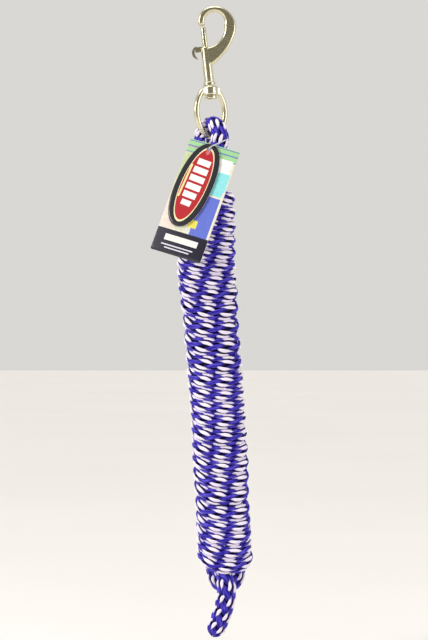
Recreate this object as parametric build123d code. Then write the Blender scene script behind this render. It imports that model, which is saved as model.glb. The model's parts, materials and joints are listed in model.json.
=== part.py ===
from build123d import *
import math
import os

# A horse lead rope in its hanging position: a swivel bolt snap, a braided rope
# spliced to the snap's eye and wound into a hank, and two swing tags.
# Millimetres. +Z is up and the origin is the inside of the hook's crown, where
# the snap hangs on its hook or nail. +X is to the right of the tags' front side.

# --- snap casting, in its own frame: Z up the barrel's axis from the collar's
# --- lower face, X towards the hook's back
snap_lean = 6.4            # degrees from the vertical, lower end towards +X
barrel_r = 3.9
barrel_top = 30.5
collar_r = 4.9
collar_height = 2.7
limb_depth = 7.4           # the hook's thickness across Y
limb_round = 2.0           # rounding of the hook's long edges
crown_thick = 5.0          # section of the hook at its crown
back_thick = 8.9           # section of the hook at its back limb
crown_r = 7.7              # inside radius of the crown
crown_x = 9.1              # the crown's centre, from the barrel's axis
crown_z = 50.1
tip_x = -0.9
tip_width = 4.6
tip_end = 48.0             # the hook's tip stops just above the bolt
web_foot = 15.8            # height at which the web meets the barrel

# --- bolt, thumb stud and spring
bolt_r = 2.1
bolt_fit = 0.08            # radial clearance of the bolt in the barrel
bolt_tip = 46.9
bolt_foot = 21.0
bolt_travel = 11.0
bolt_dome = 1.2
stud_pin_r = 1.1
stud_pin_z = 29.2
stud_pin_depth = 1.9       # how far the stud's pin goes into the bolt
stud_neck_width = 2.4      # across Y
stud_neck_height = 4.2
stud_neck_reach = 8.2      # from the barrel's axis
stud_plate_width = 6.4     # across Y
slot_gap = 0.35            # clearance round the stud's neck in its slot
press = 0.01               # radial interference of a pressed pin
spring_wire = 0.5
spring_coil_r = 1.6
spring_turns = 9
spring_seat = 0.15         # gap at each end of the spring

# --- swivel: rivet and eye, in the eye's own frame from the same point
eye_lean = 1.6             # degrees; the eye hangs straighter than the snap
eye_turn = 35.0            # degrees; the eye's plane, turned about the rivet
rivet_shank_r = 2.2
rivet_plug = 3.4           # length of the rivet that is pressed into the barrel
rivet_head_r = 4.9
rivet_head_height = 2.6
hub_r = 6.3
hub_height = 7.4
hub_gap = 0.8              # play above and below the hub
hub_bore_r = 2.9           # loose on the rivet, so that the eye can lean
wire_r = 2.25              # section of the eye's ring
ring_half = 13.75          # half the ring's width, on its centre line
ring_wide_z = -21.0        # height of the widest place
ring_bottom_z = -40.1      # the bottom bar, on its centre line
ring_bottom_r = 11.2       # radius of the bottom of the ring

# --- rope
rope_d = 16.0
loop_d = 13.4              # the rope where it is squeezed over the bar
loop_gap = 0.3             # clearance between the loop and the bar
neck_top = -124.0
neck_long, neck_short = 26.0, 17.0
hank_top = -142.0
hank_bottom = -448.5
hank_depth = 32.0          # front to back
hank_end_round = 3.0
bight_half = 16.7          # half the width of the core's fold
bight_d = 15.0
bight_y = 7.2
bight_lift = 3.0           # how far the fold starts inside the hank
tail_gap = 0.6             # between the fold and the tail in front of it
tail_y = bight_y - bight_d / 2 - tail_gap - rope_d / 2

# --- tags
card_width, card_length, card_thick = 43.0, 94.0, 0.5
oval_length, oval_width, oval_thick = 71.0, 29.0, 0.8
tag_gap = 1.0              # between the card's face and the oval tag's back
tag_hole_r = 2.0
card_corner = 1.0
filament_r = 0.45
filament_bend = 2.2
lock_r, lock_length = 1.25, 3.4


def hang_snap():
    """Where the snap's frame lies: the crown's highest inside point is the origin."""
    angle = math.radians(snap_lean)
    top_x = crown_x + crown_r * math.sin(angle)
    top_z = crown_z + crown_r * math.cos(angle)
    x = -(top_x * math.cos(angle) - top_z * math.sin(angle))
    z = -(top_x * math.sin(angle) + top_z * math.cos(angle))
    return Location((x, 0, z), (0, -snap_lean, 0))


SNAP = hang_snap()
HUB_MIDDLE = -(hub_gap + hub_height / 2)
EYE = (SNAP * Pos(0, 0, HUB_MIDDLE) * Rot(0, snap_lean - eye_lean, 0)
       * Pos(0, 0, -HUB_MIDDLE) * Rot(0, 0, eye_turn))


def cylinder(radius, low, high):
    """A round bar on the Z axis from height low to height high."""
    return Pos(0, 0, low) * Cylinder(
        radius, high - low, align=(Align.CENTER, Align.CENTER, Align.MIN))


# --------------------------------------------------------------- the snap
def hook_plate():
    """The hook and its web as a thick plate with rounded edges."""
    tip_left = tip_x - tip_width / 2
    tip_right = tip_x + tip_width / 2
    inner_left = (tip_right + 0.1, crown_z + 0.6)
    inner_top = (crown_x, crown_z + crown_r)
    inner_right = (crown_x + crown_r + 0.2, crown_z - 3.6)
    inner_low = (12.8, 35.3)
    barrel_mouth = (0, barrel_top - 0.1)
    foot = (barrel_r, web_foot)
    outer_back = (inner_right[0] + back_thick - 0.3, 41.0)
    outer_shoulder = (inner_right[0] + back_thick - 4.1, crown_z + 6.9)
    outer_top = (crown_x - 2.3, crown_z + crown_r + crown_thick - 0.4)
    outer_left = (tip_left + 1.8, crown_z + 7.4)
    outline = [
        Line((tip_right, tip_end), (tip_left, tip_end)),
        ThreePointArc((tip_left, tip_end), outer_left, outer_top),
        ThreePointArc(outer_top, outer_shoulder, outer_back),
        ThreePointArc(outer_back, (19.6, 29.5), foot),
        Line(foot, (0, web_foot)),
        Line((0, web_foot), barrel_mouth),
        ThreePointArc(barrel_mouth, inner_low, inner_right),
        ThreePointArc(inner_right, inner_top, inner_left),
        Line(inner_left, (tip_right, tip_end)),
    ]
    face = Plane.XZ * make_face(outline)
    plate = extrude(face, limb_depth / 2, both=True)
    front = plate.faces().sort_by(Axis.Y)[0].edges()
    back = plate.faces().sort_by(Axis.Y)[-1].edges()
    return fillet(front + back, limb_round)


def stud_slot():
    """The slot in the barrel that the stud's neck runs in."""
    half = stud_neck_width / 2 + slot_gap
    high = stud_pin_z + stud_neck_height / 2 + slot_gap
    low = stud_pin_z - stud_neck_height / 2 - bolt_travel - slot_gap
    reach = barrel_r + 2
    return Pos(-reach / 2, 0, (high + low) / 2) * Box(reach, 2 * half, high - low)


def snap_body():
    """Hook, web, barrel and collar, cast in one, with the bore and the slot."""
    barrel = cylinder(barrel_r, 0, barrel_top)
    barrel = fillet(barrel.edges().sort_by(Axis.Z)[-1], 0.9)
    collar = cylinder(collar_r, 0, collar_height)
    collar = fillet(collar.edges().sort_by(Axis.Z)[-1], 0.8)
    body = hook_plate() + barrel + collar
    bore_r = bolt_r + bolt_fit
    body -= cylinder(bore_r, -1, barrel_top + 4)
    # the bolt's way up to the hook's tip, through the web's inner edge
    body -= cylinder(bore_r, barrel_top - 1, tip_end - 0.6)
    body -= stud_slot()
    return body


def bolt():
    """The sliding bolt, domed at its tip, with a cross hole for the stud."""
    bar = cylinder(bolt_r, bolt_foot, bolt_tip)
    bar = fillet(bar.edges().sort_by(Axis.Z)[-1], bolt_dome)
    hole = Rot(0, -90, 0) * Cylinder(
        stud_pin_r, bolt_r * 2, align=(Align.CENTER, Align.CENTER, Align.MIN))
    return bar - Pos(bolt_r - stud_pin_depth, 0, stud_pin_z) * hole


def thumb_stud():
    """A curved thumb plate on a neck, with a pin that is pressed into the bolt."""
    top = (-6.9, stud_pin_z + 2.6)
    bottom = (-6.5, stud_pin_z - 7.9)
    crescent = make_face([
        ThreePointArc(top, (-11.1, stud_pin_z - 2.0), bottom),
        ThreePointArc(bottom, (-8.9, stud_pin_z - 2.4), top),
    ])
    plate = extrude(Plane.XZ * crescent, stud_plate_width / 2, both=True)
    neck_start = bolt_r + bolt_fit
    neck_length = stud_neck_reach - neck_start
    neck = Pos(-neck_start - neck_length / 2, 0, stud_pin_z) * Box(
        neck_length, stud_neck_width, stud_neck_height)
    pin = Rot(0, -90, 0) * Cylinder(
        stud_pin_r + press, stud_pin_depth + 1,
        align=(Align.CENTER, Align.CENTER, Align.MIN))
    pin = Pos(-(bolt_r - stud_pin_depth), 0, stud_pin_z) * pin
    return plate + neck + pin


def bolt_spring():
    """The coil spring between the rivet and the bolt's foot."""
    low = rivet_plug + spring_seat + spring_wire / 2
    high = bolt_foot - spring_seat - spring_wire / 2
    path = Helix(pitch=(high - low) / spring_turns, height=high - low,
                 radius=spring_coil_r)
    section = Plane(origin=path @ 0, z_dir=path % 0) * Circle(spring_wire / 2)
    return Pos(0, 0, low) * sweep(section, path)


# -------------------------------------------------------------- the swivel
def rivet_low():
    """Height of the underside of the hub's play, where the rivet's head starts."""
    return -(2 * hub_gap + hub_height)


def swivel_rivet():
    """The rivet: its plug is pressed into the barrel, its head holds the hub."""
    plug = cylinder(bolt_r + bolt_fit + press, -0.2, rivet_plug)
    shank = cylinder(rivet_shank_r, rivet_low() - 0.5, 0)
    head = cylinder(rivet_head_r, rivet_low() - rivet_head_height, rivet_low())
    head = fillet(head.edges().sort_by(Axis.Z)[0], rivet_head_height * 0.7)
    return plug + shank + head


def ring_path():
    """The eye's centre line: a bottom arc and two long side arcs that meet it."""
    bottom_centre = ring_bottom_z + ring_bottom_r
    rise = ring_wide_z - bottom_centre
    # radius of the side arcs, so that they are tangent to the bottom arc
    side_r = (ring_half ** 2 + rise ** 2 - ring_bottom_r ** 2) / (
        2 * (ring_half - ring_bottom_r))
    side_x = ring_half - side_r
    reach = math.hypot(side_x, rise)
    join = (-side_x / reach * ring_bottom_r,
            bottom_centre - rise / reach * ring_bottom_r)
    top_x = side_x + math.sqrt(side_r ** 2 - (HUB_MIDDLE - ring_wide_z) ** 2)
    right = ThreePointArc((top_x, HUB_MIDDLE), (ring_half, ring_wide_z), join)
    bottom = ThreePointArc(join, (0, ring_bottom_z), (-join[0], join[1]))
    left = ThreePointArc((-join[0], join[1]), (-ring_half, ring_wide_z),
                         (-top_x, HUB_MIDDLE))
    return [Plane.XZ * edge for edge in (right, bottom, left)]


def swivel_eye():
    """The pear-shaped ring with its bored hub, one forging."""
    path = Wire(ring_path())
    section = Plane(origin=path @ 0, z_dir=path % 0) * Circle(wire_r)
    ring = sweep(section, path)
    hub = cylinder(hub_r, -(hub_gap + hub_height), -hub_gap)
    hub = fillet(hub.edges(), 1.4)
    shoulder = Pos(0, 0, HUB_MIDDLE) * Box(
        2 * (hub_r + 1.6), 2 * wire_r, hub_height - 2.4)
    shoulder = fillet(shoulder.edges().filter_by(Axis.Y), 1.6)
    eye = ring + hub + shoulder
    return eye - cylinder(hub_bore_r, -(hub_gap + hub_height + 4), 1)


def bar_point():
    """The middle of the eye's bottom bar, in the object's frame."""
    return (EYE * Location((0, 0, ring_bottom_z))).position


# ---------------------------------------------------------------- the rope
def cord_radii(points, name):
    """Radius of each corner: 0.45 of the shorter run over the half turn's tangent."""
    radii = []
    for before, here, after in zip(points, points[1:], points[2:]):
        run_in = Vector(*here) - Vector(*before)
        run_out = Vector(*after) - Vector(*here)
        half_turn = math.radians(run_in.get_angle(run_out)) / 2
        radii.append(0.45 * min(run_in.length, run_out.length) / math.tan(half_turn))
    print(name, "radii", [round(radius, 1) for radius in radii])
    return radii


def tube(points, diameter, name):
    """A round tube along straight runs joined by tangent arcs."""
    path = FilletPolyline(*points, radius=cord_radii(points, name))
    wire = Wire(path.edges())
    section = Plane(origin=wire @ 0, z_dir=wire % 0) * Circle(diameter / 2)
    solid = sweep(section, wire)
    true_volume = math.pi * diameter ** 2 / 4 * wire.length
    print(name, "length", round(wire.length, 1),
          "volume", round(solid.volume), "of", round(true_volume))
    return solid


def loop_points():
    """The loop's route: up the back leg, over the bar and down the front leg."""
    bar = bar_point()
    across = Vector(math.sin(math.radians(eye_turn)),
                    -math.cos(math.radians(eye_turn)), 0)
    crest = bar.Z + wire_r + loop_gap + loop_d / 2

    def at(side, height, shift=0.0):
        return (bar.X + across.X * side + shift, across.Y * side, height)

    return [
        at(-4.5, neck_top, -4.4),
        at(-10.5, neck_top + 13, -2.2),
        at(-12.6, crest - 12.5),
        at(-8.6, crest - 2.3),
        at(0, crest + 1.2),
        at(8.6, crest - 2.3),
        at(12.6, crest - 12.5),
        at(10.5, neck_top + 13, -1.2),
        at(4.5, neck_top, -3.0),
    ]


def rope_eye_loop():
    """The rope's loop through the swivel eye."""
    return tube(loop_points(), loop_d, "rope_eye_loop") - rope_neck()


def rope_neck():
    """The spliced neck: both legs of the loop become one thick rope."""
    ends = (Vector(*loop_points()[0]), Vector(*loop_points()[-1]))
    middle = (ends[0] + ends[1]) * 0.5
    top = Location((middle.X, middle.Y, neck_top), (0, 0, eye_turn - 90))
    bottom = Location((hank_centre(hank_top), 0, hank_top), (0, 0, eye_turn - 90))
    wide = top * Ellipse(neck_long / 2, neck_short / 2)
    narrow = bottom * Ellipse(rope_d * 0.62, rope_d * 0.56)
    return loft([wide, narrow], ruled=True)


# the hank's middle and width at a few heights, read from top to bottom
HANK_STATIONS = [
    (hank_top, -5.2, 40.0),
    (-150.0, -5.5, 45.5),
    (-207.0, -5.5, 46.5),
    (-246.0, -1.5, 43.0),
    (-322.0, 3.7, 44.5),
    (-384.0, 6.5, 44.0),
    (-436.0, 9.0, 44.5),
    (hank_bottom, 8.8, 40.0),
]


def hank_centre(height):
    """The hank's middle in X at a height, between the stations."""
    for (high, x_high, _), (low, x_low, _) in zip(HANK_STATIONS, HANK_STATIONS[1:]):
        if low <= height <= high:
            share = (high - height) / (high - low)
            return x_high + (x_low - x_high) * share
    return HANK_STATIONS[-1][1]


def rope_hank():
    """The wound hank as one closed solid of its outer shape."""
    sections = []
    for height, x, width in HANK_STATIONS:
        end = height in (hank_top, hank_bottom)
        depth = hank_depth - (2 * hank_end_round if end else 0)
        sections.append(Pos(x, 0, height) * SlotOverall(width, depth))
    return loft(sections, ruled=True)


def rope_bight():
    """The core's fold below the last wrap: a thick U, as one closed solid."""
    x = HANK_STATIONS[-1][1] + 0.9
    half = bight_half - bight_d / 2
    start = hank_bottom + bight_lift
    fold = ThreePointArc((x - half, bight_y, start), (x, bight_y, start - half),
                         (x + half, bight_y, start))
    section = Plane(origin=fold @ 0, z_dir=fold % 0) * Circle(bight_d / 2)
    return sweep(section, fold) - rope_hank()


def rope_tail():
    """The free end, which hangs out under the last wrap and curls to the left."""
    points = [
        (9.6, tail_y, hank_bottom),
        (10.3, tail_y - 0.3, hank_bottom - 13),
        (8.2, tail_y + 0.2, hank_bottom - 26),
        (4.2, tail_y + 0.9, hank_bottom - 36.5),
        (1.4, tail_y + 1.4, hank_bottom - 42.4),
    ]
    tail = tube(points, rope_d, "rope_tail")
    return tail + Pos(*points[-1]) * Sphere(rope_d / 2) - rope_hank()


# ---------------------------------------------------------------- the tags
def tag_plane():
    """The card's face: its middle, X across the card and Z up its length."""
    corner = Vector(-18.6, -13.0, -102.0)
    across = Vector(39.3, -13.0, -12.4)
    down = Vector(-32.7, -12.0, 0)
    down = Vector(down.X, down.Y, (across.X * down.X + across.Y * down.Y) / 12.4)
    across, down = across.normalized(), down.normalized()
    middle = corner + across * (card_width / 2) + down * (card_length / 2)
    return Plane(origin=middle, x_dir=across, z_dir=across.cross(down * -1))


TAG = tag_plane()
HOLE_X, HOLE_Y = -2.7, 42.5        # the tags' hole, in the card's own plane
OVAL_LEAN = -4.5                   # degrees, against the card
OVAL_BELOW = 31.0                  # the oval's middle below the hole


def hole_cutter(length=6.0):
    return Pos(HOLE_X, HOLE_Y, 0) * Cylinder(tag_hole_r, length)


def card_tag():
    """The printed card with its hanging hole."""
    card = Box(card_width, card_length, card_thick)
    card = fillet(card.edges().filter_by(Axis.Z), card_corner)
    return TAG.location * (card - hole_cutter())


def oval_tag():
    """The oval tag in front of the card, on the same hole."""
    front = card_thick / 2 + tag_gap + oval_thick / 2
    oval = extrude(Ellipse(oval_width / 2, oval_length / 2), oval_thick / 2, both=True)
    oval = Rot(0, 0, OVAL_LEAN) * (Pos(0, -OVAL_BELOW, 0) * oval)
    oval = Pos(HOLE_X, HOLE_Y, front) * oval
    return TAG.location * (oval - Pos(0, 0, front) * hole_cutter())


def tag_fastener():
    """The clear loop through both tags' holes and round the front leg, with its lock."""
    hole = (TAG.location * Location((HOLE_X, HOLE_Y, 0))).position
    right = Vector(15.0, -9.5, -101.5)
    rear = Vector(7.6, 0.4, -104.0)
    lock = (right + rear) * 0.5
    along = (rear - right).normalized()
    points = [
        lock + along * 0.5,
        rear,
        Vector(-6.5, -6.0, -101.0),
        Vector(-6.4, -14.0, -105.0),
        hole - TAG.z_dir * 3.4 + Vector(-0.4, 0, -0.2),
        hole + TAG.z_dir * 5.0 + Vector(0.4, 0, 0.2),
        Vector(8.5, -21.0, -104.5),
        right,
        lock - along * 0.5,
    ]
    path = Wire(FilletPolyline(*points, radius=filament_bend).edges())
    section = Plane(origin=path @ 0, z_dir=path % 0) * Circle(filament_r)
    lock_bar = Cylinder(lock_r, lock_length)
    lock_bar = fillet(lock_bar.edges(), lock_r * 0.4)
    return sweep(section, path) + Plane(origin=lock, z_dir=along).location * lock_bar


PARTS = {
    "snap_body": lambda: SNAP * snap_body(),
    "bolt": lambda: SNAP * bolt(),
    "thumb_stud": lambda: SNAP * thumb_stud(),
    "bolt_spring": lambda: SNAP * bolt_spring(),
    "swivel_rivet": lambda: SNAP * swivel_rivet(),
    "swivel_eye": lambda: EYE * swivel_eye(),
    "rope_eye_loop": rope_eye_loop,
    "rope_neck": rope_neck,
    "rope_hank": rope_hank,
    "rope_bight": rope_bight,
    "rope_tail": rope_tail,
    "tag_fastener": tag_fastener,
    "card_tag": card_tag,
    "oval_tag": oval_tag,
}

os.makedirs("parts", exist_ok=True)
for node, make in PARTS.items():
    shape = make()
    solids = shape.solids()
    print(node, "solids", len(solids), "volume", round(sum(s.volume for s in solids), 1))
    export_step(shape, f"parts/{node}.step")
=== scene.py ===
import json
import math
import bpy
import numpy as np
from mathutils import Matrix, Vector


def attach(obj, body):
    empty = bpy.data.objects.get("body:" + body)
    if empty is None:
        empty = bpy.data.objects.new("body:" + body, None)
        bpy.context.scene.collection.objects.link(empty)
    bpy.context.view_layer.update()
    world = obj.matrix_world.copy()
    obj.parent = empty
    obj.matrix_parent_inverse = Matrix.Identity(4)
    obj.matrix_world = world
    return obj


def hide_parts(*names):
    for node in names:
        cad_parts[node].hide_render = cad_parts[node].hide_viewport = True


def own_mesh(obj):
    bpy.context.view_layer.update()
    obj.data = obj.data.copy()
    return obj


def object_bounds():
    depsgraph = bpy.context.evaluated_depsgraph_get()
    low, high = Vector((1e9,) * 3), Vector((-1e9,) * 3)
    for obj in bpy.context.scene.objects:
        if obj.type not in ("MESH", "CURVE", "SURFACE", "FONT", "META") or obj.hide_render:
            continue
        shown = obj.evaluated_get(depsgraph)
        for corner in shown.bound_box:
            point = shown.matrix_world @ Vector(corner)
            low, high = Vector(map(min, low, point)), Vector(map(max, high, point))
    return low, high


# A braided horse lead rope that hangs by its bolt snap: one rope, spliced to the
# snap's eye and wound into a hank, with a card and an oval tag on a plastic loop.
# Metres. +Z is up, the snap's crown is the origin, and the tags are on the -Y side.

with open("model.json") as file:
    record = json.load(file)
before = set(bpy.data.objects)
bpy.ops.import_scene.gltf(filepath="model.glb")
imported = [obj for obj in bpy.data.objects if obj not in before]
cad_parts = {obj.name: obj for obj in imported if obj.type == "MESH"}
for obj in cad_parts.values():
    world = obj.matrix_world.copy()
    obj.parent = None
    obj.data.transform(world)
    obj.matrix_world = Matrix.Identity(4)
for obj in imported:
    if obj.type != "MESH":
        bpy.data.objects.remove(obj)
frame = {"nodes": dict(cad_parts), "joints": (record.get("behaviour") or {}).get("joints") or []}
cad_low, cad_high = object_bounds()
MM = 0.001
rng = np.random.default_rng(11)


# ------------------------------------------------------------------ camera
def make_camera():
    """A long lens, level with the middle of the hanging lead and square to its front."""
    low, high = cad_low, cad_high
    data = bpy.data.cameras.new("camera")
    camera = bpy.data.objects.new("camera", data)
    bpy.context.scene.collection.objects.link(camera)
    distance = 1.5
    seen_height = 0.512
    data.sensor_width = 36.0
    data.lens = 36.0 * distance / seen_height
    data.clip_end = 60.0
    camera.location = (0.0001, -distance, (low.z + high.z) / 2 + 0.0009)
    camera.rotation_euler = (math.radians(90), 0, 0)
    bpy.context.scene.camera = camera


make_camera()


# ------------------------------------------------------ small shape helpers
def unit(rows):
    """Each row of an array divided by its own length."""
    return rows / np.linalg.norm(rows, axis=-1, keepdims=True)


def nurbs(controls, per_span=6):
    """Points along the clamped quadratic NURBS spline that has these control points."""
    curve = bpy.data.curves.new("line", "CURVE")
    curve.dimensions = "3D"
    spline = curve.splines.new("NURBS")
    spline.points.add(len(controls) - 1)
    flat = np.ones((len(controls), 4))
    flat[:, :3] = controls
    spline.points.foreach_set("co", flat.ravel())
    spline.order_u = 3
    spline.use_endpoint_u = True
    spline.resolution_u = per_span
    holder = bpy.data.objects.new("line", curve)
    line = bpy.data.meshes.new_from_object(holder)
    found = np.empty(len(line.vertices) * 3)
    line.vertices.foreach_get("co", found)
    bpy.data.objects.remove(holder)
    bpy.data.curves.remove(curve)
    bpy.data.meshes.remove(line)
    return found.reshape(-1, 3)


def tube_faces(rows, columns):
    """Quads of a closed tube of rings, and the many-sided cap on each end."""
    k, j = np.meshgrid(np.arange(rows - 1), np.arange(columns), indexing="ij")
    nxt = (j + 1) % columns
    quads = np.stack([k * columns + j, (k + 1) * columns + j,
                      (k + 1) * columns + nxt, k * columns + nxt], -1).reshape(-1, 4)
    first = np.arange(columns)
    last = (rows - 1) * columns + first[::-1]
    return quads, np.stack([first, last])


def make_piece(name, points, faces, body, material, uv=None, values=None):
    """A named mesh piece that rides on a body, with a UV pair and a value per point.
    Faces are arrays of point numbers, one array for each number of sides."""
    faces = [face for group in faces for face in group.tolist()]
    mesh = bpy.data.meshes.new(name)
    mesh.from_pydata(np.asarray(points).reshape(-1, 3), [], faces)
    mesh.polygons.foreach_set("use_smooth", np.ones(len(faces), bool))
    if uv is not None:
        corner = np.empty(len(mesh.loops), np.int32)
        mesh.loops.foreach_get("vertex_index", corner)
        layer = mesh.uv_layers.new(name="along")
        layer.data.foreach_set("uv", np.asarray(uv).reshape(-1, 2)[corner].ravel())
    for label, numbers in (values or {}).items():
        store = mesh.attributes.new(label, "FLOAT", "POINT")
        store.data.foreach_set("value", np.asarray(numbers, np.float32).ravel())
    mesh.materials.append(material)
    piece = bpy.data.objects.new(name, mesh)
    bpy.context.scene.collection.objects.link(piece)
    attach(piece, body)
    return piece


# ---------------------------------------------------------------- materials
def linear(code):
    """An sRGB hex colour as linear red, green, blue and alpha."""
    parts = [int(code[i:i + 2], 16) / 255 for i in (1, 3, 5)]
    bright = [c / 12.92 if c <= 0.04045 else ((c + 0.055) / 1.055) ** 2.4 for c in parts]
    return (*bright, 1.0)


def add_node(tree, kind, inputs=None, **settings):
    """Adds a node with its settings; each input is a value or a socket to link."""
    made = tree.nodes.new(kind)
    for label, value in settings.items():
        setattr(made, label, value)
    for label, value in (inputs or {}).items():
        socket = made.inputs[label]
        if isinstance(value, bpy.types.NodeSocket):
            tree.links.new(value, socket)
        else:
            socket.default_value = value
    return made


def new_material(name):
    """An empty material, its node tree and its shader."""
    material = bpy.data.materials.new(name)
    material.use_nodes = True
    tree = material.node_tree
    return material, tree, tree.nodes["Principled BSDF"]


def blend_colours(tree, share, first, second):
    """A colour from first to second by share."""
    mix = add_node(tree, "ShaderNodeMix", {0: share, 6: first, 7: second},
                   data_type="RGBA")
    return mix.outputs[2]


def yarn(name, deep, middle, bright):
    """Solution-dyed polypropylene yarn, braided: soft gloss along fine filaments. Its colour
    is painted shade (deep) where a strand dives under the next one, its own colour
    (middle) where it rides out, and a painted sheen highlight (bright) along the
    filament bundles of raised strands."""
    material, tree, shader = new_material(name)
    place = add_node(tree, "ShaderNodeUVMap", uv_map="along")
    # a strand shows about 9 filament bundles across, each some 6 mm long
    stretch = add_node(tree, "ShaderNodeMapping",
                       {"Vector": place.outputs[0], "Scale": (9.0, 0.17, 1.0)})
    bundles = add_node(tree, "ShaderNodeTexNoise",
                       {"Vector": stretch.outputs[0], "Scale": 1.0, "Detail": 2.0})
    # painted shade: the strand's rise blends from the deep colour where it dives to the middle
    # colour where it rides out
    rise = add_node(tree, "ShaderNodeAttribute", attribute_name="rise")
    depth = add_node(tree, "ShaderNodeMapRange",
                     {"Value": rise.outputs["Fac"], "From Min": 0.05, "From Max": 0.8})
    base = blend_colours(tree, depth.outputs[0], linear(deep), linear(middle))
    # painted sheen highlight: the bright colour along the filament bundles, only where the
    # strand rides out
    painted_sheen_streak = add_node(tree, "ShaderNodeMapRange",
                      {"Value": bundles.outputs["Fac"], "From Min": 0.42,
                       "From Max": 0.68})
    lit = add_node(tree, "ShaderNodeMath",
                   {0: painted_sheen_streak.outputs[0], 1: depth.outputs[0]}, operation="MULTIPLY")
    colour = blend_colours(tree, lit.outputs[0], base, linear(bright))
    tree.links.new(colour, shader.inputs["Base Color"])
    bump = add_node(tree, "ShaderNodeBump",
                    {"Height": bundles.outputs["Fac"], "Distance": 0.0005,
                     "Strength": 0.6})
    tree.links.new(bump.outputs[0], shader.inputs["Normal"])
    shader.inputs["Roughness"].default_value = 0.55
    shader.inputs["IOR"].default_value = 1.49
    # the filaments' gloss is broken up, so little of the room shows in them
    shader.inputs["Specular IOR Level"].default_value = 0.2
    return material


def nickel(name, polish):
    """Nickel plate on a zinc die casting, tumbled smooth: a warm, slightly wavy mirror
    with fine scuffs that dull it in patches."""
    material, tree, shader = new_material(name)
    place = add_node(tree, "ShaderNodeTexCoord")
    # the casting's skin rolls over about 6 mm, and scuffs are about 0.8 mm
    skin = add_node(tree, "ShaderNodeTexNoise",
                    {"Vector": place.outputs["Object"], "Scale": 170.0, "Detail": 0.0})
    scuffs = add_node(tree, "ShaderNodeTexNoise",
                      {"Vector": place.outputs["Object"], "Scale": 1250.0,
                       "Detail": 3.0, "Roughness": 0.6})
    colour = blend_colours(tree, scuffs.outputs["Fac"], linear("#c6bf9f"),
                           linear("#e8e2c6"))
    tree.links.new(colour, shader.inputs["Base Color"])
    dull = add_node(tree, "ShaderNodeMapRange",
                    {"Value": scuffs.outputs["Fac"], "From Min": 0.3, "From Max": 0.7,
                     "To Min": polish, "To Max": polish + 0.08})
    tree.links.new(dull.outputs[0], shader.inputs["Roughness"])
    bump = add_node(tree, "ShaderNodeBump",
                    {"Height": skin.outputs["Fac"], "Distance": 0.0003,
                     "Strength": 0.35})
    tree.links.new(bump.outputs[0], shader.inputs["Normal"])
    shader.inputs["Metallic"].default_value = 1.0
    return material


def spring_wire():
    """Hard drawn spring steel, oil-dark: a grey metal with drawing lines."""
    material, tree, shader = new_material("spring_steel_drawn")
    place = add_node(tree, "ShaderNodeTexCoord")
    lines = add_node(tree, "ShaderNodeTexNoise",
                     {"Vector": place.outputs["Object"], "Scale": 2500.0})
    colour = blend_colours(tree, lines.outputs["Fac"], linear("#6d6e70"),
                           linear("#b4b5b8"))
    tree.links.new(colour, shader.inputs["Base Color"])
    shader.inputs["Metallic"].default_value = 1.0
    shader.inputs["Roughness"].default_value = 0.35
    return material


def clear_plastic():
    """Extruded clear nylon: a thin glossy filament with a milky core."""
    material, tree, shader = new_material("clear_nylon_extruded")
    place = add_node(tree, "ShaderNodeTexCoord")
    haze = add_node(tree, "ShaderNodeTexNoise",
                    {"Vector": place.outputs["Object"], "Scale": 900.0})
    colour = blend_colours(tree, haze.outputs["Fac"], linear("#e4e2f0"),
                           linear("#ffffff"))
    tree.links.new(colour, shader.inputs["Base Color"])
    shader.inputs["Transmission Weight"].default_value = 0.45
    shader.inputs["Roughness"].default_value = 0.12
    shader.inputs["IOR"].default_value = 1.53
    return material


# --------------------------------------------------------------- the rope
# each yarn goes from a painted shade colour where strands dive, through its own colour, to a
# painted sheen highlight
ROPE_MATERIALS = {
    "white": yarn("white_polypropylene_yarn", "#8069d2", "#efe2ff", "#fffdff"),
    "purple": yarn("purple_polypropylene_yarn", "#07023c", "#22129a", "#6a5ae6"),
    # the filler's near-black colours are painted shade in the gaps between the strands
    "filler": yarn("filler_yarn_painted_shade", "#06022e", "#0c0548", "#140a60"),
}

# Height of each wrap's middle on the hank's front, from top to bottom, in mm
WRAP_FRONTS = [-148.5, -160.5, -172.3, -183.8, -194.5, -204.6, -214.9, -226.1,
               -239.7, -253.5, -267.8, -282.2, -295.6, -306.1, -316.5, -326.9,
               -339.7, -352.5, -363.7, -374.9, -386.9, -400.5, -410.9, -420.5,
               -431.3, -442.2]
# The hank's middle in X at a few heights, in mm
HANK_Z = [-142.0, -150.0, -207.0, -246.0, -322.0, -384.0, -436.0, -448.5]
HANK_X = [-5.2, -5.5, -5.9, -2.3, 3.7, 6.5, 9.0, 8.8]
HANK_HALF = [22.3, 22.6, 24.1, 22.7, 22.6, 22.1, 22.2, 21.4]


def hank_x(z):
    """The hank's middle in X at a height."""
    return np.interp(-np.asarray(z), -np.array(HANK_Z), HANK_X)


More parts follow.
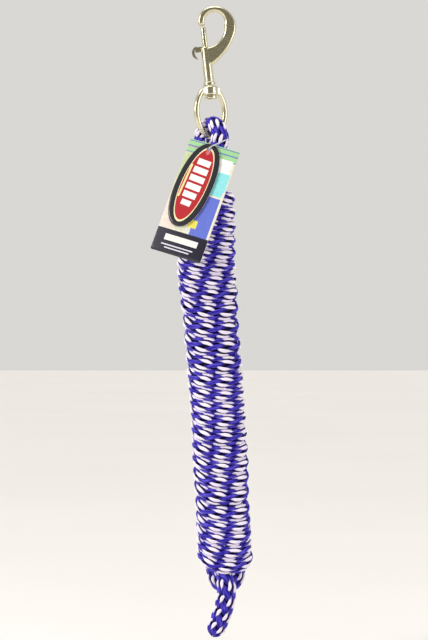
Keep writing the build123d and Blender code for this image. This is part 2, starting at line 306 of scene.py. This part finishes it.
def route_start():
    """The splice, the loop over the eye's bar and the way down into the hank: for each
    control point its place, its outward direction, and its section."""
    back = (-0.574, 0.819, 0.0)
    front = (0.574, -0.819, 0.0)
    # x, y, z; outward; half size outward, half size across, fleck spacing
    return [
        ((-5.6, 3.0, -148.0), back, (6.4, 6.8, 11.5)),
        ((-7.4, 3.6, -136.0), back, (6.8, 7.2, 11.5)),
        ((-8.94, 3.69, -124.0), back, (7.0, 7.4, 11.2)),
        ((-10.4, 8.60, -111.0), back, (7.0, 7.6, 11.2)),
        ((-9.4, 10.32, -101.0), back, (6.9, 7.6, 11.2)),
        ((-6.9, 7.04, -91.4), (-0.45, 0.64, 0.62), (6.5, 7.4, 11.2)),
        ((-1.96, 0.0, -87.9), (0.0, 0.0, 1.0), (6.2, 7.3, 11.2)),
        ((2.97, -7.04, -91.4), (0.45, -0.64, 0.62), (6.6, 7.5, 11.2)),
        ((5.4, -10.32, -101.0), front, (7.2, 7.8, 11.2)),
        ((3.6, -8.60, -111.0), (0.45, -0.89, 0.0), (7.3, 7.8, 11.2)),
        ((-2.0, -4.6, -124.0), (0.3, -0.95, 0.0), (7.2, 7.6, 11.5)),
        ((-7.4, -1.6, -138.0), (0.1, -1.0, 0.0), (6.6, 7.0, 12.0)),
        ((-11.6, -0.2, -152.0), (0.0, -1.0, 0.0), (6.0, 6.4, 12.5)),
    ]


def route_core():
    """Down the hank's left inner strand, round the fold at its foot and up the right
    one. The two strands lie side by side inside the wraps."""
    rows = []
    front = (0.0, -1.0, 0.0)
    for z in (-176.0, -208.0, -246.0, -284.0, -322.0, -352.0, -384.0, -410.0, -426.0):
        rows.append(((float(hank_x(z)) - 6.5, 0.0, z), front, (5.9, 6.4, 13.0)))
    rows += [
        ((0.9, 4.0, -437.0), front, (6.6, 7.0, 12.0)),
        ((0.3, 7.0, -447.0), front, (7.4, 7.5, 11.5)),
        ((2.6, 7.4, -456.2), front, (7.4, 7.5, 11.5)),
        ((9.7, 7.4, -459.0), front, (7.4, 7.5, 11.5)),
        ((16.8, 7.4, -456.2), front, (7.4, 7.5, 11.5)),
        ((19.1, 7.0, -447.0), front, (7.4, 7.5, 11.5)),
        ((17.6, 4.0, -437.0), front, (6.6, 7.0, 12.0)),
    ]
    for z in (-426.0, -410.0, -384.0, -352.0, -322.0, -284.0, -246.0, -208.0, -178.0):
        rows.append(((float(hank_x(z)) + 6.5, 0.0, z), front, (5.9, 6.4, 13.0)))
    rows += [
        ((0.6, 0.0, -160.0), front, (5.9, 6.2, 13.0)),
        ((0.6, 0.8, -150.5), (0.0, -0.9, 0.5), (5.6, 6.2, 13.5)),
        ((-1.8, 6.4, -144.6), (0.0, -0.3, 1.0), (5.4, 6.2, 14.0)),
    ]
    return rows


# A wrap's half thickness and the spacing of its flecks, in mm
WRAP_THICK, WRAP_FLECK = 5.2, 16.15


def route_wraps(per_turn=14):
    """The wraps, wound downwards: a flat-sided round turn about the two inner strands.
    A turn's height follows the wraps' front heights, its descent is mostly behind,
    and it hangs lower in front than behind by a sag that grows down the hank."""
    turns = len(WRAP_FRONTS)
    # turn number k is in front at t = k, and the first one starts behind
    t = np.arange(-0.44, turns - 1 + 0.40, 1.0 / per_turn)
    phi = 2 * math.pi * (t - 0.25)
    whole = np.arange(turns)
    eased = t - 0.55 * np.sin(2 * math.pi * t) / (2 * math.pi)
    heights = np.interp(eased, whole, WRAP_FRONTS)
    heights += np.where(eased < 0, -6.0 * eased, 0.0)
    heights += np.where(eased > turns - 1, -10.5 * (eased - turns + 1), 0.0)
    sag = np.interp(t, [0, 3, 8, 19, turns - 3, turns - 1], [1.2, 3.5, 5, 6, 7.5, 8.5])
    sag += np.interp(t, whole, rng.uniform(-0.6, 0.6, turns))
    z = heights + sag * (1 + np.sin(phi))
    gap = np.interp(t, whole, np.abs(np.gradient(WRAP_FRONTS)))
    across = 0.5 * gap + 0.5
    thick = np.full(len(t), WRAP_THICK)
    # the spline cuts inside its control points by about 0.7 mm here
    half = np.interp(-z, -np.array(HANK_Z), HANK_HALF) - thick + 0.7
    half += np.interp(t, whole, rng.uniform(-0.35, 0.35, turns))
    deep = 16.7 - thick + np.interp(t, whole, rng.uniform(-0.25, 0.1, turns))
    flat = np.tanh(2.0 * np.cos(phi)) / math.tanh(2.0)
    x = hank_x(z) + deep * np.cos(phi) + (half - deep) * flat
    y = deep * np.sin(phi)
    slope = 2.0 / np.cosh(2.0 * np.cos(phi)) ** 2 / math.tanh(2.0)
    run_x = -np.sin(phi) * (deep + (half - deep) * slope)
    run_y = deep * np.cos(phi)
    out = unit(np.stack([run_y, -run_x, np.zeros(len(t))], -1))
    spots = np.stack([x, y, z], -1)
    sizes = np.stack([thick, across, np.full(len(t), WRAP_FLECK)], -1)
    return [(tuple(a), tuple(b), tuple(c)) for a, b, c in zip(spots, out, sizes)]


def route_end():
    """From behind the last wrap in between the inner strands, and out as the tail."""
    front = (0.0, -1.0, 0.0)
    return [
        ((7.0, 10.6, -433.5), (-0.2, 1.0, 0.3), (5.4, 6.0, 14.0)),
        ((1.2, 6.6, -436.0), (-1.0, 0.3, 0.2), (5.6, 6.0, 13.0)),
        ((2.2, -1.0, -439.5), (-0.9, -0.5, 0.2), (5.8, 6.4, 12.0)),
        ((7.6, -4.6, -446.0), (-0.3, -1.0, 0.0), (6.6, 7.0, 11.3)),
        ((10.2, -8.9, -457.0), front, (7.8, 7.9, 11.3)),
        ((9.8, -9.0, -466.0), front, (8.0, 8.3, 11.3)),
        ((8.2, -8.7, -474.5), front, (8.0, 8.2, 11.3)),
        ((4.6, -8.0, -485.0), front, (8.0, 8.1, 11.3)),
        ((1.6, -7.5, -491.5), front, (8.0, 8.0, 11.3)),
        ((-0.4, -7.2, -497.6), front, (8.0, 8.0, 11.3)),
    ]


class Route:
    """The whole rope, read from its spline at even steps: its middle line, its outward
    and across directions, its half sizes and how far the braid has turned."""

    def __init__(self, step):
        rows = route_start() + route_core() + route_wraps() + route_end()
        spots, outs, sizes = (np.array([row[i] for row in rows]) for i in range(3))
        line = nurbs(spots * MM)
        outs = nurbs(outs)
        sizes = nurbs(sizes * MM)
        run = np.r_[0, np.cumsum(np.linalg.norm(np.diff(line, axis=0), axis=1))]
        self.length = run[-1]
        self.at = np.linspace(0, self.length, int(self.length / step))
        even = [np.stack([np.interp(self.at, run, table[:, i]) for i in range(3)], -1)
                for table in (line, outs, sizes)]
        self.middle, outward, sizes = even
        self.along = unit(np.gradient(self.middle, axis=0))
        outward -= self.along * (outward * self.along).sum(1, keepdims=True)
        self.outward = unit(outward)
        self.across = np.cross(self.along, self.outward)
        # the free end is a rounded stub
        left = np.clip((self.length - self.at) / (8.5 * MM), 0, 1)
        self.taper = np.sqrt(np.clip(1 - (1 - left) ** 2, 0.02, 1))
        self.half_out, self.half_across = sizes[:, 0], sizes[:, 1]
        spacing = sizes[:, 2]
        self.turn = np.cumsum(np.gradient(self.at) / spacing) / 8


STRAND_THICK = 1.7 * MM
LIFT = 0.8 * MM
ROW_OFFSET = math.radians(22.5)
SKEW = 1.05
SPREAD = 0.15


def strand(route, number, sign, width):
    """One strand of a sixteen-strand braid, as rings of eight points.
    Its angle round the rope grows (white) or falls (purple) by a full turn in eight
    fleck spacings. It rides out where white is on top, and in where purple is:
    lift times 0.3 plus 0.8 of the cosine of eight times that angle. Each float is a
    lens: it is full in its middle and pinched where the next strand crosses it. The
    flecks of the two sides of the rope's crown are skewed against each other, and the
    strands are spread at the crown and crowded at the sides, where wraps press. A
    float runs straighter along the rope than the strand does where it dives."""
    angle = 2 * math.pi * (number / 8 + sign * route.turn) + ROW_OFFSET
    sine = np.sin(angle)
    phase = 16 * math.pi * route.turn + SKEW * np.tanh(3 * sine)
    straight = 0.6 if sign > 0 else 0.15
    angle = angle - straight * np.sin(16 * math.pi * route.turn) / 8
    angle = angle + SPREAD * np.sin(2 * angle)
    cosine, sine = np.cos(angle), np.sin(angle)
    height = sign * (0.3 + 0.8 * np.cos(phase))
    low = 0.18 if sign > 0 else 0.6
    full = low + (1 - low) * ((1 + sign * np.cos(phase)) / 2) ** 0.7
    inset = LIFT + STRAND_THICK / 2
    wide = np.maximum((route.half_out - inset) * route.taper, 0.0003)
    tall = np.maximum((route.half_across - inset) * route.taper, 0.0003)
    out, across = route.outward, route.across
    base = (route.middle + (wide * cosine)[:, None] * out
            + (tall * sine)[:, None] * across)
    normal = unit((cosine / wide)[:, None] * out + (sine / tall)[:, None] * across)
    line = base + (LIFT * height * route.taper)[:, None] * normal
    along = unit(np.gradient(line, axis=0))
    side = unit(np.cross(along, normal))
    up = np.cross(side, along)
    turn = np.arange(8) * 2 * math.pi / 8
    loose = (route.half_out + route.half_across) / (12.4 * MM)
    loose = loose ** (0.1 if sign > 0 else 1.4)
    half_width = (width / 2 * full * loose * np.clip(route.taper, 0.35, 1))[:, None]
    rings = (line[:, None]
             + side[:, None] * (half_width * np.cos(turn))[..., None]
             + up[:, None] * (STRAND_THICK / 2 * np.sin(turn))[:, None])
    # how far out the strand rides; its yarn turns this into painted shade where it dives and a
    # painted sheen highlight where it rides out
    rise = np.repeat(0.5 + 0.5 * height, 8)
    v = np.repeat((route.at / MM)[:, None], 8, 1) + number * 37.0
    u = np.broadcast_to(np.arange(8) / 8.0 + number, v.shape)
    return rings, np.stack([u, v], -1), rise


def braid_piece(name, route, numbers, sign, width, material):
    """Some strands of one colour as one mesh."""
    made = [strand(route, n, sign, width) for n in numbers]
    rows = len(route.at)
    shift = np.arange(len(made))[:, None, None] * rows * 8
    faces = [(group + shift).reshape(-1, group.shape[-1])
             for group in tube_faces(rows, 8)]
    points = np.concatenate([m[0].reshape(-1, 3) for m in made])
    uv = np.concatenate([m[1].reshape(-1, 2) for m in made])
    rise = np.concatenate([m[2] for m in made])
    return make_piece(name, points, faces, "rope", material, uv, {"rise": rise})


def filler_piece(route):
    """The filler inside the braid: an oval tube, a little under the strands. Its
    near-black colour is painted shade in the gaps between them.
    """
    inset = LIFT * 2 + STRAND_THICK
    sides = 12
    turn = -np.arange(sides) * 2 * math.pi / sides
    wide = np.maximum((route.half_out - inset) * route.taper, 0.0002)[:, None]
    tall = np.maximum((route.half_across - inset) * route.taper, 0.0002)[:, None]
    rings = (route.middle[:, None]
             + route.outward[:, None] * (wide * np.cos(turn))[..., None]
             + route.across[:, None] * (tall * np.sin(turn))[..., None])
    v = np.repeat((route.at / MM)[:, None], sides, 1)
    u = np.broadcast_to(np.arange(sides) / sides, v.shape)
    # a low rise, so the filler takes mostly its painted shade colour
    rise = np.full(rings.shape[:2], 0.3)
    return make_piece("rope_filler", rings, tube_faces(len(route.at), sides), "rope",
                      ROPE_MATERIALS["filler"], np.stack([u, v], -1), {"rise": rise})


def make_rope():
    """One rope from its splice to its free end, in five pieces that share one line."""
    route = Route(1.35 * MM)
    white = ROPE_MATERIALS["white"]
    purple = ROPE_MATERIALS["purple"]
    pieces = [
        braid_piece("rope_white_strands_a", route, range(0, 4), 1, 2.9 * MM, white),
        braid_piece("rope_white_strands_b", route, range(4, 8), 1, 2.9 * MM, white),
        braid_piece("rope_purple_strands_a", route, range(0, 4), -1, 3.8 * MM, purple),
        braid_piece("rope_purple_strands_b", route, range(4, 8), -1, 3.8 * MM, purple),
        filler_piece(route),
    ]
    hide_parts("rope_eye_loop", "rope_neck", "rope_hank", "rope_bight",
                "rope_tail")


make_rope()


# ------------------------------------------------------- the cast metal parts
def finish_cad_nodes():
    """The metal and plastic parts keep their shape and get their real finish."""
    cast = nickel("nickel_plated_die_casting", 0.2)
    turned = nickel("nickel_plated_turned_bar", 0.12)
    finishes = {
        "snap_body": cast,
        "swivel_eye": cast,
        "thumb_stud": cast,
        "swivel_rivet": turned,
        "bolt": turned,
        "tag_fastener": clear_plastic(),
    }
    for node, material in finishes.items():
        slots = frame["nodes"][node].material_slots
        for slot in slots:
            slot.material = material


finish_cad_nodes()


# The barrel's foot, and the spring's two ends above it, in mm
BARREL_FOOT = np.array([-3.4587, 0.0, -58.5021])
SPRING_LOW, SPRING_HIGH = 3.8, 20.6
SPRING_TURNS, COIL_RADIUS, WIRE_RADIUS = 9, 1.6, 0.25
SNAP_LEAN = math.radians(6.4)


def make_spring():
    """The bolt's return spring: nine turns of 0.5 mm wire whose ends close up flat.
    It stands in the barrel, so its line is a helix round the barrel's leaning axis,
    and its pitch falls to the wire's thickness over the first and last turn. In the
    real snap the sliding bolt presses it towards the rivet; here it rides on the snap's
    body and keeps its length."""
    steps, sides = SPRING_TURNS * 24 + 1, 8
    share = np.linspace(0, 1, steps)
    turn = 2 * math.pi * SPRING_TURNS * share
    speed = np.clip(np.minimum(share, 1 - share) * SPRING_TURNS, 0.3, 1.0)
    climb = np.r_[0, np.cumsum((speed[1:] + speed[:-1]) / 2)]
    height = SPRING_LOW + (SPRING_HIGH - SPRING_LOW) * climb / climb[-1]
    side = np.array([math.cos(SNAP_LEAN), 0.0, math.sin(SNAP_LEAN)])
    axis = np.array([-math.sin(SNAP_LEAN), 0.0, math.cos(SNAP_LEAN)])
    depth = np.array([0.0, 1.0, 0.0])
    out = np.cos(turn)[:, None] * side + np.sin(turn)[:, None] * depth
    line = (BARREL_FOOT + height[:, None] * axis + COIL_RADIUS * out) * MM
    along = unit(np.gradient(line, axis=0))
    up = unit(np.cross(out, along))
    round_wire = -np.arange(sides) * 2 * math.pi / sides
    rings = (line[:, None]
             + out[:, None] * (WIRE_RADIUS * MM * np.cos(round_wire))[:, None]
             + up[:, None] * (WIRE_RADIUS * MM * np.sin(round_wire))[:, None])
    spring = make_piece("return_spring", rings, tube_faces(steps, sides), "snap",
                        spring_wire())
    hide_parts("bolt_spring")
    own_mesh(spring)


make_spring()


# ---------------------------------------------------------------- the tags
def tag_frame():
    """The tags' hole and the card's across, up and outward directions, from the card's
    joint."""
    joint = [j for j in frame["joints"] if j["name"] == "card_swing"][0]
    hole = np.array(joint["pos_m"])
    out = np.array(joint["axis"])
    out /= np.linalg.norm(out)
    across = np.array([39.3, -13.0, -12.4])
    across -= out * (across @ out)
    across /= np.linalg.norm(across)
    up = np.cross(out, across)
    return hole, across, up, out


HOLE, ACROSS, UP, OUT = tag_frame()
HOLE_X, HOLE_Y = -2.7, 42.5
OVAL_SHIFT = 0.6
OVAL_LEAN = math.radians(4.5)
OVAL_POWER = 2.2


def outline_card(count):
    """A 43 by 94 mm rectangle with 1 mm corners, walked once anticlockwise."""
    w, h, r = 21.5, 47.0, 1.0
    corners = [(w, h, 0), (-w, h, 90), (-w, -h, 180), (w, -h, 270)]
    rows = []
    for x, y, start in corners:
        turn = np.radians(start + np.linspace(0, 90, 5))
        mid = (x - math.copysign(r, x), y - math.copysign(r, y))
        rows.append(np.stack([mid[0] + r * np.cos(turn), mid[1] + r * np.sin(turn)], -1))
    walk = np.concatenate(rows + [rows[0][:1]])
    run = np.r_[0, np.cumsum(np.linalg.norm(np.diff(walk, axis=0), axis=1))]
    at = np.linspace(0, run[-1], count, endpoint=False)
    return np.stack([np.interp(at, run, walk[:, i]) for i in range(2)], -1)


def outline_oval(count):
    """A full oval, 30 by 71 mm: the sum of x over its half width and y over its half
    length, each to the power 2.2, is one. It leans 4.5 degrees."""
    turn = np.linspace(0, 2 * math.pi, count, endpoint=False)
    cosine, sine = np.cos(turn), np.sin(turn)
    total = np.abs(cosine) ** OVAL_POWER + np.abs(sine) ** OVAL_POWER
    reach = total ** (-1 / OVAL_POWER)
    x = 15.1 * cosine * reach + OVAL_SHIFT
    y = 35.5 * sine * reach - 31.4
    lean = -OVAL_LEAN
    return np.stack([HOLE_X + x * math.cos(lean) - y * math.sin(lean),
                     HOLE_Y + x * math.sin(lean) + y * math.cos(lean)], -1)


def holed_sheet(name, outline, thick, rest, bow, body, material):
    """A flat tag with its hanging hole. The face runs from the hole's circle to the
    outline in even shares; both faces are joined round the outline and in the hole.
    It bows back from its middle line by bow times the square of the distance."""
    count, rings = len(outline), 26
    ray = outline - [HOLE_X, HOLE_Y]
    circle = [HOLE_X, HOLE_Y] + 2.0 * unit(ray)
    share = np.linspace(0, 1, rings)[:, None, None] ** 0.8
    flat = circle * (1 - share) + outline * share
    sheets = []
    for side in (0.5, -0.5):
        lift = rest + side * thick - bow * (flat[..., 0] / 21.5) ** 2
        offset = [flat[..., 0] - HOLE_X, flat[..., 1] - HOLE_Y, lift]
        sheets.append(HOLE + MM * (offset[0][..., None] * ACROSS
                                   + offset[1][..., None] * UP
                                   + offset[2][..., None] * OUT))
    points = np.concatenate([s.reshape(-1, 3) for s in sheets])
    k, j = np.meshgrid(np.arange(rings - 1), np.arange(count), indexing="ij")
    n = (j + 1) % count
    face = np.stack([k * count + j, (k + 1) * count + j,
                     (k + 1) * count + n, k * count + n], -1).reshape(-1, 4)
    back = face[:, ::-1] + rings * count
    j = np.arange(count)
    n = (j + 1) % count
    rim = (rings - 1) * count
    other = rings * count
    edge = np.stack([rim + j, rim + other + j, rim + other + n, rim + n], -1)
    bore = np.stack([j, n, other + n, other + j], -1)
    faces = np.concatenate([face, back, edge, bore])
    uv = np.concatenate([flat.reshape(-1, 2)] * 2)
    front = np.r_[np.ones(rings * count), np.zeros(rings * count)]
    piece = make_piece(name, points, [faces], body, material, uv, {"front": front})
    mesh = piece.data
    flat_shade = np.ones(len(faces), bool)
    flat_shade[2 * len(face):] = False
    mesh.polygons.foreach_set("use_smooth", flat_shade)
    return piece


def printed_block(tree, base, x, y, block, colour):
    """The colour inside one printed rectangle (left, right, low, high in mm)."""
    left, right, low, high = block
    inside_x = add_node(tree, "ShaderNodeMath",
                        {0: x, 1: (left + right) / 2, 2: (right - left) / 2},
                        operation="COMPARE")
    inside_y = add_node(tree, "ShaderNodeMath",
                        {0: y, 1: (low + high) / 2, 2: (high - low) / 2},
                        operation="COMPARE")
    inside = add_node(tree, "ShaderNodeMath",
                      {0: inside_x.outputs[0], 1: inside_y.outputs[0]},
                      operation="MULTIPLY")
    return blend_colours(tree, inside.outputs[0], base, linear(colour))


CARD_PRINT = [
    ((-21.5, 21.5, 37.0, 47.0), "#a3d89a"),
    ((-21.5, 21.5, 45.6, 46.4), "#7f86b8"),
    ((-21.5, 21.5, 41.4, 42.4), "#6f7fc0"),
    ((-21.5, -4.0, 40.6, 41.2), "#d88aa0"),
    ((-21.5, 21.5, 36.4, 37.2), "#8a90c4"),
    ((-21.5, -8.0, 14.0, 36.4), "#c9d8a6"),
    ((-21.5, -8.0, -4.0, 14.0), "#e4dcb0"),
    ((-21.5, -10.0, -29.0, -4.0), "#f1dfd2"),
    ((-14.0, -9.2, -9.0, -3.0), "#efe45a"),
    ((-15.2, -10.2, -18.5, -12.5), "#efe45a"),
    ((7.5, 19.0, 27.0, 38.0), "#fbfbfa"),
    ((7.0, 20.5, 7.5, 27.0), "#93e6ea"),
    ((4.5, 19.6, -29.0, 6.0), "#6676d6"),
    ((19.6, 21.5, -29.0, 12.0), "#f3ecd8"),
    ((1.5, 8.5, -22.0, -15.5), "#efe45a"),
    ((-21.5, 21.5, -47.0, -27.6), "#15122a"),
    ((-13.5, 14.5, -36.6, -31.6), "#f6f4ee"),
    ((-14.5, 12.5, -40.6, -39.6), "#e6e3ee"),
    ((-11.0, 10.0, -43.0, -42.0), "#e6e3ee"),
]

OVAL_PRINT = [
    ((-4.6, 6.4, -14.5, -9.5), "#f6f4f2"),
    ((-5.2, 7.0, -21.5, -16.5), "#f6f4f2"),
    ((-5.4, 7.2, -28.5, -23.5), "#f6f4f2"),
    ((-5.4, 7.0, -35.5, -30.5), "#f6f4f2"),
    ((-5.0, 6.2, -42.5, -37.5), "#f6f4f2"),
    ((-3.6, 4.6, -49.0, -44.5), "#f6f4f2"),
    ((-8.6, -7.0, -44.0, -16.0), "#efe0a0"),
]


def print_coordinates(tree):
    """The printed face's own X and Y in mm."""
    place = add_node(tree, "ShaderNodeUVMap", uv_map="along")
    split = add_node(tree, "ShaderNodeSeparateXYZ", {0: place.outputs[0]})
    return place.outputs[0], split.outputs[0], split.outputs[1]


def finish_print(tree, shader, colour, backing):
    """The print on the front only, paper behind, and the stock's faint grain."""
    front = add_node(tree, "ShaderNodeAttribute", attribute_name="front")
    shown = add_node(tree, "ShaderNodeMath", {0: front.outputs["Fac"], 1: 0.5},
                     operation="GREATER_THAN")
    place = add_node(tree, "ShaderNodeTexCoord")
    grain = add_node(tree, "ShaderNodeTexNoise",
                     {"Vector": place.outputs["Object"], "Scale": 900.0,
                      "Detail": 3.0})
    paper = blend_colours(tree, grain.outputs["Fac"], linear(backing),
                          linear("#ffffff"))
    both = blend_colours(tree, shown.outputs[0], paper, colour)
    tree.links.new(both, shader.inputs["Base Color"])
    bump = add_node(tree, "ShaderNodeBump",
                    {"Height": grain.outputs["Fac"], "Distance": 0.0001,
                     "Strength": 0.25})
    tree.links.new(bump.outputs[0], shader.inputs["Normal"])


def card_print():
    """Offset-printed, varnished card: crisp flat inks under a thin gloss."""
    material, tree, shader = new_material("varnished_printed_card")
    place, x, y = print_coordinates(tree)
    # the pictures' soft mottling, about 3 mm
    mottle = add_node(tree, "ShaderNodeTexNoise",
                      {"Vector": place, "Scale": 0.35, "Detail": 3.0})
    colour = blend_colours(tree, mottle.outputs["Fac"], linear("#dfe3c8"),
                           linear("#f4efe0"))
    for block, ink in CARD_PRINT:
        colour = printed_block(tree, colour, x, y, block, ink)
    shade = add_node(tree, "ShaderNodeMapRange",
                     {"Value": mottle.outputs["Fac"], "To Min": 0.82, "To Max": 1.1})
    colour = add_node(tree, "ShaderNodeMix",
                      {0: 1.0, 6: colour, 7: shade.outputs[0]},
                      data_type="RGBA", blend_type="MULTIPLY").outputs[2]
    finish_print(tree, shader, colour, "#eceae4")
    shader.inputs["Roughness"].default_value = 0.32
    shader.inputs["Coat Weight"].default_value = 0.35
    shader.inputs["Coat Roughness"].default_value = 0.12
    return material


def oval_print():
    """Laminated printed board: a black rim, a cream line and a red field with plain
    white bars in place of a name."""
    material, tree, shader = new_material("laminated_printed_board")
    place, x, y = print_coordinates(tree)
    lean = OVAL_LEAN
    turned = add_node(tree, "ShaderNodeMapping",
                      {"Vector": place,
                       "Location": (-HOLE_X * math.cos(lean) + HOLE_Y * math.sin(lean),
                                    -HOLE_X * math.sin(lean) - HOLE_Y * math.cos(lean),
                                    0.0),
                       "Rotation": (0.0, 0.0, lean)})
    split = add_node(tree, "ShaderNodeSeparateXYZ", {0: turned.outputs[0]})
    own_x, own_y = split.outputs[0], split.outputs[1]
    # share of the way from the middle to the rim of an ellipse
    squeezed = add_node(tree, "ShaderNodeMapping",
                        {"Vector": turned.outputs[0],
                         "Location": (-OVAL_SHIFT / 10.4, 31.0 / 30.6, 0.0),
                         "Scale": (1 / 10.4, 1 / 30.6, 0.0)})
    away = add_node(tree, "ShaderNodeVectorMath", {0: squeezed.outputs[0]},
                    operation="LENGTH")
    red = linear("#b5101f")
    colour = red
    for block, ink in OVAL_PRINT:
        colour = printed_block(tree, colour, own_x, own_y, block, ink)
    line = add_node(tree, "ShaderNodeMath", {0: away.outputs["Value"], 1: 0.985},
                    operation="GREATER_THAN")
    colour = blend_colours(tree, line.outputs[0], colour, linear("#f2e7b4"))
    rim = add_node(tree, "ShaderNodeMath", {0: away.outputs["Value"], 1: 1.04},
                   operation="GREATER_THAN")
    colour = blend_colours(tree, rim.outputs[0], colour, linear("#14111f"))
    finish_print(tree, shader, colour, "#e9e7e2")
    shader.inputs["Roughness"].default_value = 0.3
    shader.inputs["Coat Weight"].default_value = 0.6
    shader.inputs["Coat Roughness"].default_value = 0.08
    return material


def make_tags():
    """The card and the oval tag, on their own bodies."""
    card = holed_sheet("printed_card", outline_card(300), 0.5, 0.0, 0.5, "card",
                       card_print())
    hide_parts("card_tag")
    oval = holed_sheet("oval_board", outline_oval(220), 0.8, 1.65, 0.0, "oval",
                       oval_print())
    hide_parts("oval_tag")


make_tags()


# ---------------------------------------------------------- floor and light
def stage_material():
    """Matt painted studio floor, very slightly mottled."""
    material, tree, shader = new_material("matt_studio_paint")
    place = add_node(tree, "ShaderNodeTexCoord")
    mottle = add_node(tree, "ShaderNodeTexNoise",
                      {"Vector": place.outputs["Object"], "Scale": 3.0})
    colour = blend_colours(tree, mottle.outputs["Fac"], linear("#e6e3de"),
                           linear("#ebe8e4"))
    tree.links.new(colour, shader.inputs["Base Color"])
    shader.inputs["Roughness"].default_value = 0.9
    return material


def make_stage():
    """A wide pale floor under the hanging lead."""
    mesh = bpy.data.meshes.new("floor")
    low = cad_low.z - 0.03
    reach = 9.0
    corners = [(-reach, -reach, low), (reach, -reach, low), (reach, reach, low),
               (-reach, reach, low)]
    mesh.from_pydata(corners, [], [(0, 1, 2, 3)])
    mesh.materials.append(stage_material())
    floor = bpy.data.objects.new("floor", mesh)
    bpy.context.scene.collection.objects.link(floor)


def soft_light(name, place, target, size, watts):
    """A square soft box that faces the target."""
    data = bpy.data.lights.new(name, "AREA")
    data.shape = "SQUARE"
    data.size = size
    data.energy = watts
    lamp = bpy.data.objects.new(name, data)
    bpy.context.scene.collection.objects.link(lamp)
    lamp.location = place
    aim = Vector(target) - Vector(place)
    lamp.rotation_euler = aim.to_track_quat("-Z", "Y").to_euler()
    lamp.visible_camera = False


def make_lights():
    """A key from the upper left, a weaker fill from the right and a top light."""
    middle = (0.0, 0.0, -0.25)
    soft_light("key", (-1.5, -1.0, 0.45), middle, 0.7, 17.0)
    soft_light("fill", (1.6, -0.8, 0.0), middle, 0.9, 7.0)
    overhead = bpy.data.lights.new("overhead", "SUN")
    overhead.energy = 1.5
    overhead.angle = math.radians(50)
    lamp = bpy.data.objects.new("overhead", overhead)
    lamp.rotation_euler = (math.radians(12), math.radians(-8), 0)
    bpy.context.scene.collection.objects.link(lamp)
    world = bpy.data.worlds.new("studio")
    bpy.context.scene.world = world
    world.use_nodes = True
    tree = world.node_tree
    # the room is darker on the tags' side, which gives the metal its dark tones
    place = add_node(tree, "ShaderNodeTexCoord")
    split = add_node(tree, "ShaderNodeSeparateXYZ", {0: place.outputs["Generated"]})
    behind = add_node(tree, "ShaderNodeMapRange",
                      {"Value": split.outputs[1], "From Min": -0.9, "From Max": 0.0})
    colour = blend_colours(tree, behind.outputs[0], linear("#8b877c"),
                           linear("#f0eeea"))
    ground = tree.nodes["Background"]
    tree.links.new(colour, ground.inputs["Color"])
    ground.inputs["Strength"].default_value = 0.8


make_stage()
make_lights()
bpy.context.scene.view_settings.view_transform = "Standard"
